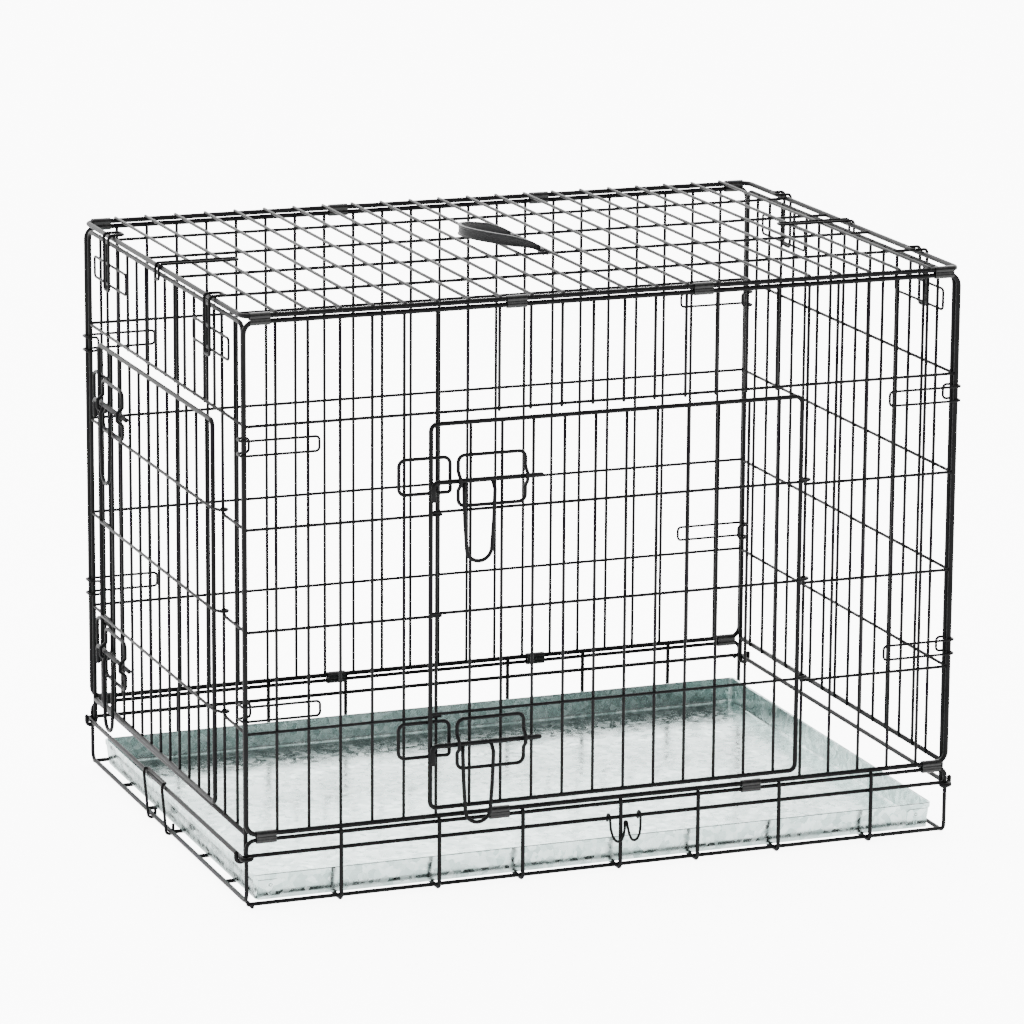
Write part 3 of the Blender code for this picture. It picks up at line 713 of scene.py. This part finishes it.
def latches(side, place, wall_body, wires, latch):
    latch_u = wires[latch]
    guide_u = latch_u + GUIDE_SHIFT
    rings, keepers = [], []
    for name, level in BOLT_LEVELS.items():
        rings.append(guide_ring(guide_u, level, place))
        keepers.append(keeper_ring(latch_u + KEEPER_SHIFT[0], level + KEEPER_SHIFT[1], place))
        leg_u = guide_u - GUIDE[0] / 2 + 0.0045
        body = f"{side}_bolt_{name}"
        make_wires(f"{side}_slide_bolt_{name}", bolt(leg_u, level, place), body, [body])
    make_wires(f"{side}_door_rings", rings, f"{side}_door", [f"{side}_guide_upper", f"{side}_guide_lower"])
    make_wires(f"{side}_wall_keepers", keepers, wall_body, [f"{side}_keeper_upper", f"{side}_keeper_lower"])


latches("front", FRONT, "root", LONG_WIRES, FRONT_LATCH)
latches("end", LEFT, "left_end", END_WIRES, END_LATCH)

# %% [markdown]
# ## Hooks that hold the corners
# Long wire loops lie outside the long walls and bend round the corners to hold the end
# walls' rods. Each roof stop is a loop that lies on the roof and bends down outside an end
# wall. The hairpins hang over the roof's end rods and drop outside the end walls' loops.

# %% Corner hooks and roof stops
HOOK_OUT = ROD / 2 + CLEAR + HOOK_WIRE / 2
HOOK_LONG = 0.077
HOOK_TUCK = 0.013
HOOK_HALF = 0.0075
STOP_REACH = 0.3055
STOP_END_Z = 0.5955
STOP_HALF = 0.006


def corner_hook(place, side, level):
    corner = side * (HALF_LONG + ROD / 2 + CLEAR + HOOK_WIRE / 2)
    tuck = HALF_WIDE - END_HALF + ROD / 2 + 0.0010 + HOOK_WIRE / 2
    path = [(side * (HALF_LONG - HOOK_LONG), -HOOK_OUT), (corner, -HOOK_OUT), (corner, tuck),
            (corner - side * HOOK_TUCK, tuck)]
    low = [(u, n, level - HOOK_HALF) for u, n in path]
    high = [(u, n, level + HOOK_HALF) for u, n in reversed(path)]
    return run(low + high, HOOK_WIRE, 0.004, closed=True, place=place)


hooks, hook_nodes = [], []
for wall, place, turned in (("front", FRONT, 1), ("back", BACK, -1)):
    for side_name, side in (("left", -1), ("right", 1)):
        for level_name, level in (("upper", RAILS[-2] - 0.021), ("lower", RAILS[1] + 0.022)):
            hooks.append(corner_hook(place, side * turned, level))
            hook_nodes.append(f"hook_{wall}_{side_name}_{level_name}")
make_wires("corner_hooks", hooks, "root", hook_nodes)

stops = []
for sign in (-1, 1):
    outer = sign * (HINGE_X + 0.0005)
    path = [(sign * STOP_REACH, ROOF_Z + HOOK_OUT), (outer, ROOF_Z + HOOK_OUT), (outer, STOP_END_Z)]
    there = [(x, -STOP_HALF, z) for x, z in path]
    stops.append(run(there + [(x, -y, z) for x, y, z in reversed(there)], HOOK_WIRE, 0.004, closed=True))
make_wires("roof_stops", stops, "root", ["roof_stop_left", "roof_stop_right"])

# %% [markdown]
# Each hairpin rides on its own body, because it lifts by itself, so it is a piece of its own.
# The pins stand in line with the loops of the end walls.

# %% Hairpins
HAIRPIN_WIRE = 0.0029
HAIRPIN_HALF = 0.0085
HAIRPIN_DROP = 0.056
HAIRPIN_BACK = 0.017

for side, sign in (("left", -1), ("right", 1)):
    for name, spot in zip("ab", LOOP_SPOTS):
        outer = sign * (END_X + 0.0078)
        y = spot if side == "right" else -spot
        path = [(outer - sign * HAIRPIN_BACK, ROOF_Z + HOOK_OUT), (outer, ROOF_Z + HOOK_OUT),
                (outer, ROOF_Z - HAIRPIN_DROP)]
        there = [(x, y - HAIRPIN_HALF, z) for x, z in path]
        away = [(x, y + HAIRPIN_HALF, z) for x, z in reversed(path)]
        pin = run(there + away, HAIRPIN_WIRE, 0.004, closed=True)
        body = f"{side}_hairpin_{name}"
        make_wires(f"{side}_end_hairpin_{name}", [pin], body, [body])

# %% [markdown]
# ## Pan stop and lock hook
# Both are single bent wires that turn on a rod of the cage. The pan stop leans on the hinge
# rod, so the pan can't slide out. The lock hook is a W whose two loops catch the folded
# walls.

# %% Pan stop and lock hook
def pan_stop():
    turn = CAGE_WIRE / 2 + 0.0005 + WIRE / 2
    axis_x = -HALF_LONG
    over_x = axis_x + HALF_LONG - HINGE_X
    over_z = HINGE_Z + ROD / 2 + 0.0010 + WIRE / 2
    lean_x = over_x - ROD / 2 - 0.0006 - WIRE / 2
    leg = [(axis_x + turn, STOP_ROD_Z + 0.007)]
    leg += arc((axis_x, STOP_ROD_Z), turn, 0, -180, 8, lambda a, b: (a, b))
    leg += [(lean_x, over_z - 0.0045), (lean_x + 0.0012, over_z), (over_x, over_z)]
    near = [(x, 0.02 - 0.032, z) for x, z in leg]
    far = [(x, 0.02 + 0.032, z) for x, z in reversed(leg)]
    wire = run(near + far, WIRE)
    middle = len(near)
    wire["bends"][middle] = wire["bends"][middle + 1] = 0.003
    return wire


make_wires("pan_stop_wire", [pan_stop()], "pan_stop", ["pan_stop"])


def lock_hook():
    middle = 0.0215
    turn = CAGE_WIRE / 2 + 0.0005 + HOOK_WIRE / 2
    left = [(-0.017, turn, -0.005)] + arc((0, 0), turn, 0, 180, 8, lambda a, b: (-0.017, a, b))
    left += [(-0.0165, -0.0050, -0.0110), (-0.0150, -0.0066, -0.0180), (-0.0120, -0.0076, -0.0230),
             (-0.0088, -0.0079, -0.0245), (-0.0056, -0.0079, -0.0230), (-0.0032, -0.0077, -0.0175),
             (-0.0016, -0.0068, -0.0100), (-0.0012, -0.0048, -0.0040)]
    points = left + [(-x, y, z) for x, y, z in reversed(left)]
    wire = run([(middle + x, y - HALF_WIDE, z + CAGE_MID) for x, y, z in points], HOOK_WIRE)
    for k in range(10, len(wire["bends"]) - 10):
        wire["bends"][k] = 0.003
    return wire


make_wires("lock_hook_wire", [lock_hook()], "lock_hook", ["lock_hook"])

# %% [markdown]
# ## Sheet and plastic
# The clips, the pan and the handle aren't wire, so they are built face by face in a bmesh. Each
# one ends in the same way, as an object with one finish, so a helper does that. A modifier that
# finishes a piece is applied by taking the evaluated mesh, as for the wirework.

# %% From faces to a piece
def piece_from(work, name, finish):
    mesh = bpy.data.meshes.new(name)
    work.to_mesh(mesh)
    work.free()
    piece = bpy.data.objects.new(name, mesh)
    bpy.context.scene.collection.objects.link(piece)
    mesh.materials.append(finish)
    return piece


def apply_modifiers(piece):
    graph = bpy.context.evaluated_depsgraph_get()
    piece.data = bpy.data.meshes.new_from_object(piece.evaluated_get(graph))
    piece.modifiers.clear()


print("piece_from and apply_modifiers ready")

# %% [markdown]
# ## Clips
# Strips of steel are wrapped round two rods at a time and pressed shut, which makes a
# hinge out of a wall's rod and the cage's or the roof's. The strip's section is drawn as an
# open path round both rods, pinched at the waist and overlapping on the inside. Solidify
# gives it the strip's thickness.

# %% Folded clips
CLIP_SHEET = 0.0008
CLIP_LONG = 0.021


def clip_section(tall):
    reach = ROD / 2 + CLEAR + CLIP_SHEET / 2
    top = arc((0, tall / 2), reach, -20, 215, 12, lambda a, b: (a, b))
    bottom = arc((0, -tall / 2), reach, 160, 370, 11, lambda a, b: (a, b))
    return [(reach * 1.02, -tall * 0.28), (reach * 0.93, 0.0)] + top + [(-reach * 0.9, 0.0)] + bottom


def add_clip(work, place, centre, tall):
    section = clip_section(tall)
    rows = []
    for x in (-CLIP_LONG / 2, -CLIP_LONG / 2 + 0.001, CLIP_LONG / 2 - 0.001, CLIP_LONG / 2):
        rows.append([work.verts.new(place @ (Vector(centre) + Vector((x, a, b)))) for a, b in section])
    for first, second in zip(rows, rows[1:]):
        for k in range(len(section) - 1):
            work.faces.new((first[k], second[k], second[k + 1], first[k + 1]))


def tube_clips():
    rows = {
        "front_lower": (FRONT, (0.12, 7.55, 15.85, 22), (CAGE_TOP, WALL_BOTTOM)),
        "front_upper": (FRONT, (0, 8, 14, 22), (WALL_TOP, ROOF_Z)),
        "back_lower": (BACK, (0, 7, 14.1, 22), (CAGE_TOP, WALL_BOTTOM)),
        "back_upper": (BACK, (0, 7, 14, 22), (WALL_TOP, ROOF_Z)),
    }
    work = bmesh.new()
    names = []
    for name, (place, cells, (low, high)) in rows.items():
        for number, cell in enumerate(cells, 1):
            middle = LONG_WIRES[0] + (cell + 0.5) * (LONG_WIRES[1] - LONG_WIRES[0])
            add_clip(work, place, (middle, 0, (low + high) / 2), high - low)
            names.append(f"clip_{name}_{number}")
    piece = piece_from(work, "tube_clips", black_strip)
    sheet = piece.modifiers.new("strip", "SOLIDIFY")
    sheet.thickness = CLIP_SHEET
    sheet.offset = 0
    apply_modifiers(piece)
    settle(piece, "root", names)
    print("tube_clips -", len(names), "clips,", len(piece.data.polygons), "faces")


tube_clips()

# %% [markdown]
# ## Pan
# The pan is one sheet with its sides folded up, its rim hemmed outwards and its corners
# closed with tabs that are spot welded. Its section is drawn once and swept round a
# rounded rectangle, inside and outside in one skin, which keeps the sheet closed.

# %% Pan
PAN_LOW, PAN_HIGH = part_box("pan")
PAN_MIDDLE = (PAN_LOW + PAN_HIGH) / 2
PAN_HALF = (PAN_HIGH - PAN_LOW) / 2
PAN_TALL = PAN_HIGH.z - PAN_LOW.z
PAN_SHEET = 0.001
PAN_HEM = 0.006
PAN_CORNER = 0.005


def rounded_rectangle(half_x, half_y, radius, steps):
    points = []
    for right, up, start in ((1, 1, 0), (-1, 1, 90), (-1, -1, 180), (1, -1, 270)):
        corner = (right * (half_x - radius), up * (half_y - radius))
        points += arc(corner, radius, start, start + 90, steps, lambda a, b: (a, b))
    return points


def pan():
    tall = PAN_TALL
    under_hem = tall - PAN_HEM
    profile = [(-0.0050, 0.0), (-0.0036, 0.0006), (-0.0030, 0.0022), (-0.0010, under_hem),
               (-0.0002, under_hem + 0.0004), (0.0, tall - 0.0008), (-0.0004, tall - 0.0001),
               (-0.0010, tall), (-0.0017, tall - 0.0003), (-0.0020, tall - 0.0010),
               (-0.0042, 0.0030), (-0.0050, 0.0014), (-0.0066, PAN_SHEET)]
    work = bmesh.new()
    rings = []
    for inset, z in profile:
        outline = rounded_rectangle(PAN_HALF.x + inset, PAN_HALF.y + inset, PAN_CORNER, 5)
        rings.append([work.verts.new((PAN_MIDDLE.x + a, PAN_MIDDLE.y + b, PAN_LOW.z + z))
                      for a, b in outline])
    count = len(rings[0])
    for low, high in zip(rings, rings[1:]):
        for k in range(count):
            after = (k + 1) % count
            work.faces.new((low[k], low[after], high[after], high[k]))
    work.faces.new(list(reversed(rings[0])))
    work.faces.new(rings[-1])
    for side_x in (-1, 1):
        for side_y in (-1, 1):
            add_corner_tab(work, under_hem, side_x, side_y)
    bmesh.ops.recalc_face_normals(work, faces=work.faces)
    piece = piece_from(work, "galvanised_pan", galvanised)
    settle(piece, "pan", ["pan"])
    print("galvanised_pan -", len(piece.data.polygons), "faces")
    return piece


def add_corner_tab(work, tall, side_x, side_y):
    """A tab folded round from the end wall and laid flat on the long wall, with two weld dimples."""
    def spot(u, out, z):
        lean = 0.0030 - 0.0020 * z / tall
        x = PAN_MIDDLE.x + side_x * (PAN_HALF.x - PAN_CORNER - u)
        return work.verts.new((x, PAN_MIDDLE.y + side_y * (PAN_HALF.y - lean + out), PAN_LOW.z + z))

    def oval(half_wide, half_tall, out, z):
        turns = [math.pi * k / 6 for k in range(12)]
        return [spot(0.013 + half_wide * math.cos(t), out, z + half_tall * math.sin(t)) for t in turns]

    top = tall - 0.0005
    outline = [(0, 0.001), (0.020, 0.001), (0.023, 0.004), (0.023, tall - 0.003), (0.020, top), (0, top)]
    inner = [spot(u, -0.0002, z) for u, z in outline]
    outer = [spot(u, 0.0007, z) for u, z in outline]
    work.faces.new(outer)
    work.faces.new(inner[::-1])
    for k in range(len(outline)):
        after = (k + 1) % len(outline)
        work.faces.new((inner[k], inner[after], outer[after], outer[k]))
    for z in (tall * 0.32, tall * 0.72):
        ring_low = oval(0.0026, 0.0022, 0.0005, z)
        ring_top = oval(0.0018, 0.0017, 0.0013, z)
        dimple = oval(0.0008, 0.0009, 0.0006, z)
        work.faces.new(ring_low[::-1])
        for a, b in ((ring_low, ring_top), (ring_top, dimple)):
            for k in range(12):
                work.faces.new((a[k], a[(k + 1) % 12], b[(k + 1) % 12], b[k]))
        work.faces.new(dimple)


pan()

# %% [markdown]
# ## Handle
# A moulded strap bows out between two round clips that turn on one roof wire. Its section
# is thick at both edges with a thinner web, and it narrows towards the clips. A section
# swept along the bow by hand gives that taper, which a curve's bevel would not.

# %% Strap handle
HANDLE_X = LONG_WIRES[12]
HANDLE_SPAN = 0.087
HANDLE_REACH = 0.072
HANDLE_RISE = 0.016
HANDLE_STEPS = 40


def handle_path():
    path = []
    for step in range(HANDLE_STEPS + 1):
        angle = math.pi * step / HANDLE_STEPS
        bow = max(math.sin(angle), 0.0)
        y = -HANDLE_SPAN / 2 * math.cos(angle)
        path.append(Vector((-0.0033 - HANDLE_REACH * bow ** 0.8, y, -0.002 + HANDLE_RISE * bow ** 0.5)))
    return path


def handle():
    steps = HANDLE_STEPS
    work = bmesh.new()
    rows = []
    section = [(-1, -1), (-0.35, -1), (0.35, -1), (1, -1), (1, -0.72), (0.55, -0.6), (0.55, 0.6), (1, 0.72),
               (1, 1), (0.35, 1), (-0.35, 1), (-1, 1), (-1, 0.72), (-0.55, 0.6), (-0.55, -0.6), (-1, -0.72)]
    path = handle_path()
    for step, spot in enumerate(path):
        ahead = path[min(step + 1, steps)] - path[max(step - 1, 0)]
        along = Vector((ahead.x, ahead.y, 0)).normalized()
        across = Vector((-along.y, along.x, 0))
        bow = math.sin(math.pi * step / steps)
        tall = 0.0034 + 0.0022 * min(bow * 3, 1)
        thick = 0.0014 + 0.0005 * min(bow * 3, 1)
        middle = CRATE @ (Vector((HANDLE_X, 0, ROOF_Z)) + spot + Vector((0, 0, 0.005)))
        rows.append([work.verts.new(middle + across * a * thick + Vector((0, 0, b * tall)))
                     for a, b in section])
    count = len(section)
    for first, second in zip(rows, rows[1:]):
        for k in range(count):
            after = (k + 1) % count
            work.faces.new((first[k], first[after], second[after], second[k]))
    work.faces.new(rows[0])
    work.faces.new(rows[-1][::-1])
    for y in (-HANDLE_SPAN / 2, HANDLE_SPAN / 2):
        add_handle_clip(work, CRATE @ Vector((HANDLE_X, y, ROOF_Z)))
    bmesh.ops.recalc_face_normals(work, faces=work.faces)
    piece = piece_from(work, "strap_handle", black_plastic)
    bevel = piece.modifiers.new("soft edges", "BEVEL")
    bevel.width = 0.0004
    bevel.segments = 2
    bevel.limit_method = "ANGLE"
    bevel.angle_limit = math.radians(40)
    apply_modifiers(piece)
    piece.data.shade_smooth()
    settle(piece, "handle", ["handle_strap"])
    print("strap_handle -", len(piece.data.polygons), "faces")
    return piece


def add_handle_clip(work, centre):
    """A round sleeve on the roof wire, open along its underside."""
    outer, inner, half = 0.0041, 0.0020, 0.0072
    angles = [math.radians(-60 + 300 * k / 14) for k in range(15)]
    rings = []
    for y in (-half, half):
        for radius in (outer, inner):
            ring = [centre + Vector((radius * math.cos(t), y, radius * math.sin(t))) for t in angles]
            rings.append([work.verts.new(spot) for spot in ring])
    front_outer, front_inner, back_outer, back_inner = rings
    for k in range(14):
        work.faces.new((front_outer[k], front_outer[k + 1], back_outer[k + 1], back_outer[k]))
        work.faces.new((front_inner[k + 1], front_inner[k], back_inner[k], back_inner[k + 1]))
        work.faces.new((front_outer[k + 1], front_outer[k], front_inner[k], front_inner[k + 1]))
        work.faces.new((back_outer[k], back_outer[k + 1], back_inner[k + 1], back_inner[k]))
    for k in (0, 14):
        work.faces.new((front_outer[k], back_outer[k], back_inner[k], front_inner[k]))


handle()

# %% [markdown]
# ## Studio
# The crate stands on a plain white sweep, as a catalogue shows it. The sweep is lit from
# below, which is what a glow on its material stands for, so shadows on it are faint. The glow is
# stronger to the camera than to the wires, as a sweep lit well behind its subject is. The sky is
# brighter behind the crate than in front: black wires stay black against it, and the pan
# mirrors the bright side. Two soft lamps draw the pale lines along the wires.

# %% Floor and lights
def studio():
    bpy.ops.mesh.primitive_plane_add(size=60, location=(0, 0, -0.0006))
    floor = bpy.context.object
    floor.name = "studio_floor"
    material, tree, shader, place = new_material("white_paper_sweep")
    shader.inputs["Base Color"].default_value = linear("#F2F2F2")
    shader.inputs["Roughness"].default_value = 0.9
    shader.inputs["Emission Color"].default_value = (1, 1, 1, 1)
    seen = add_node(tree, "ShaderNodeLightPath").outputs["Is Camera Ray"]
    glow = add_node(tree, "ShaderNodeMapRange", {"To Min": 2.2, "To Max": 8.0}, {"Value": seen})
    tree.links.new(glow.outputs["Result"], shader.inputs["Emission Strength"])
    floor.data.materials.append(material)
    world = bpy.data.worlds.new("studio")
    bpy.context.scene.world = world
    world.use_nodes = True
    sky = world.node_tree
    way = add_node(sky, "ShaderNodeTexCoord").outputs["Generated"]
    parts = add_node(sky, "ShaderNodeSeparateXYZ", links={0: way})
    glow = add_node(sky, "ShaderNodeMapRange",
                    {"From Min": -0.6, "From Max": 0.9, "To Min": 0.3, "To Max": 6.0},
                    {"Value": parts.outputs["Y"]})
    sky.nodes["Background"].inputs["Color"].default_value = (1, 1, 1, 1)
    sky.links.new(glow.outputs[0], sky.nodes["Background"].inputs["Strength"])
    lamps = (("key", (-1.6, -2.4, 2.8), 2.0, 40), ("top", (0.3, 0.6, 3.2), 2.5, 35))
    for name, spot, size, power in lamps:
        light = bpy.data.lights.new(name, "AREA")
        light.size = size
        light.energy = power
        lamp = bpy.data.objects.new(name, light)
        bpy.context.scene.collection.objects.link(lamp)
        lamp.location = spot
        lamp.rotation_euler = (Vector((0, 0, 0.25)) - Vector(spot)).to_track_quat("-Z", "Y").to_euler()
        lamp.visible_camera = False
    print("floor, sky and two soft lamps")


studio()

# %% [markdown]
# ## Camera
# A long lens from well back keeps the verticals nearly parallel. The camera stands in front
# and to the left of the crate, a little above it, and is rolled by less than half a degree.

# %% Camera
CAMERA_AWAY = 5.477
CAMERA_LENS = 178.0


def camera():
    azimuth, elevation, roll = math.radians(-21.09), math.radians(13.57), math.radians(0.39)
    target = CENTRE + Vector((0.028, 0.071, 0.30))
    level = math.cos(elevation)
    back = Vector((math.sin(azimuth) * level, -math.cos(azimuth) * level, math.sin(elevation)))
    right = Vector((0, 0, 1)).cross(back).normalized()
    up = back.cross(right)
    rolled_right = right * math.cos(roll) + up * math.sin(roll)
    rolled_up = back.cross(rolled_right)
    data = bpy.data.cameras.new("camera")
    data.sensor_width = 36
    data.lens = CAMERA_LENS
    data.clip_end = 60
    shot = bpy.data.objects.new("camera", data)
    bpy.context.scene.collection.objects.link(shot)
    basis = Matrix((rolled_right, rolled_up, back)).transposed().to_4x4()
    shot.matrix_world = Matrix.Translation(target + back * CAMERA_AWAY) @ basis
    bpy.context.scene.camera = shot
    print("camera", round(data.lens, 1), "mm lens")


camera()
